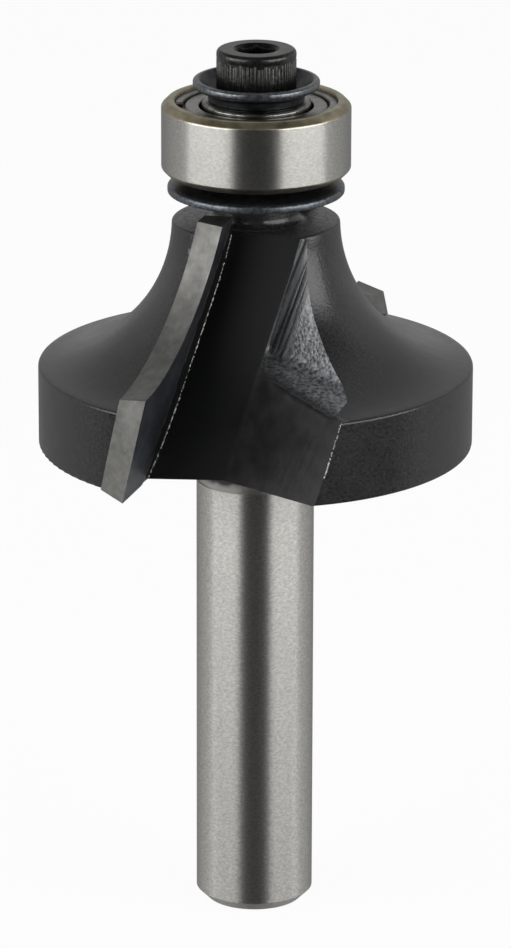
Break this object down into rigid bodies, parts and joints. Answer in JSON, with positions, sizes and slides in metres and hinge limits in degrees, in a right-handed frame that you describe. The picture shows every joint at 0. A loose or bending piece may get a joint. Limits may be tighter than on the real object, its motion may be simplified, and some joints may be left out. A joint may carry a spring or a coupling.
{
  "type": "router bit",
  "caption": "Round-over router bit with a straight shank, brazed carbide cutting tips and a ball-bearing guide held on by a socket-head screw.",
  "frame": {"origin": "centre of the shank's free end face, where the bit's axis leaves it", "axes": "+Z along the bit's axis from the shank towards the guide bearing; the gullet in front of one cutting tip opens towards -Y and the other towards +Y; seen from +Z the bit cuts turning anticlockwise"},
  "size_m": [0.0294, 0.0284, 0.0604],
  "materials": {
    "coated_steel": "black non-stick coating with a fine orange-peel surface on the head, bare ground steel on the shank",
    "carbide": "finely ground grey carbide",
    "braze": "thin pale golden line of filler",
    "race_steel": "bright superfinished steel",
    "ball_steel": "polished",
    "cage_steel": "pressed steel, dull",
    "shield_steel": "thin pressed steel, satin",
    "wire_steel": "drawn spring wire, grey",
    "black_oxide": "blackened steel with a faint blue-grey sheen, lightly oiled"
  },
  "bodies": {
    "cutter": {"cutter_body": "coated_steel", "carbide_tip_a": "carbide", "carbide_tip_b": "carbide", "braze_film_a": "braze", "braze_film_b": "braze", "dished_washer": "black_oxide", "bearing_inner_ring": "race_steel", "cup_washer": "black_oxide", "clamp_screw": "black_oxide"},
    "outer_race": {"bearing_outer_ring": "race_steel", "upper_shield": "shield_steel", "lower_shield": "shield_steel", "upper_snap_ring": "wire_steel", "lower_snap_ring": "wire_steel"},
    "ball_cage": {"bearing_cage": "cage_steel"},
    "ball_1": {"bearing_ball_1": "ball_steel"},
    "ball_2": {"bearing_ball_2": "ball_steel"},
    "ball_3": {"bearing_ball_3": "ball_steel"},
    "ball_4": {"bearing_ball_4": "ball_steel"},
    "ball_5": {"bearing_ball_5": "ball_steel"},
    "ball_6": {"bearing_ball_6": "ball_steel"},
    "ball_7": {"bearing_ball_7": "ball_steel"}
  },
  "joints": [
    {"name": "guide_spin", "type": "hinge", "parent": "cutter", "child": "outer_race", "pos_m": [0, 0, 0.05437], "axis": [0, 0, 1], "continuous": true},
    {"name": "cage_spin", "type": "hinge", "parent": "cutter", "child": "ball_cage", "pos_m": [0, 0, 0.05437], "axis": [0, 0, 1], "continuous": true},
    {"name": "ball_1_roll", "type": "hinge", "parent": "ball_cage", "child": "ball_1", "pos_m": [0.00435, 0, 0.05437], "axis": [0, 0, 1], "continuous": true},
    {"name": "ball_2_roll", "type": "hinge", "parent": "ball_cage", "child": "ball_2", "pos_m": [0.00271, 0.0034, 0.05437], "axis": [0, 0, 1], "continuous": true},
    {"name": "ball_3_roll", "type": "hinge", "parent": "ball_cage", "child": "ball_3", "pos_m": [-0.00097, 0.00424, 0.05437], "axis": [0, 0, 1], "continuous": true},
    {"name": "ball_4_roll", "type": "hinge", "parent": "ball_cage", "child": "ball_4", "pos_m": [-0.00392, 0.00189, 0.05437], "axis": [0, 0, 1], "continuous": true},
    {"name": "ball_5_roll", "type": "hinge", "parent": "ball_cage", "child": "ball_5", "pos_m": [-0.00392, -0.00189, 0.05437], "axis": [0, 0, 1], "continuous": true},
    {"name": "ball_6_roll", "type": "hinge", "parent": "ball_cage", "child": "ball_6", "pos_m": [-0.00097, -0.00424, 0.05437], "axis": [0, 0, 1], "continuous": true},
    {"name": "ball_7_roll", "type": "hinge", "parent": "ball_cage", "child": "ball_7", "pos_m": [0.00271, -0.0034, 0.05437], "axis": [0, 0, 1], "continuous": true}
  ],
  "couplings": [
    {"joint": "cage_spin", "follows": "guide_spin", "ratio": 0.63684},
    {"joint": "ball_1_roll", "follows": "guide_spin", "ratio": 1.6901},
    {"joint": "ball_2_roll", "follows": "guide_spin", "ratio": 1.6901},
    {"joint": "ball_3_roll", "follows": "guide_spin", "ratio": 1.6901},
    {"joint": "ball_4_roll", "follows": "guide_spin", "ratio": 1.6901},
    {"joint": "ball_5_roll", "follows": "guide_spin", "ratio": 1.6901},
    {"joint": "ball_6_roll", "follows": "guide_spin", "ratio": 1.6901},
    {"joint": "ball_7_roll", "follows": "guide_spin", "ratio": 1.6901}
  ]
}
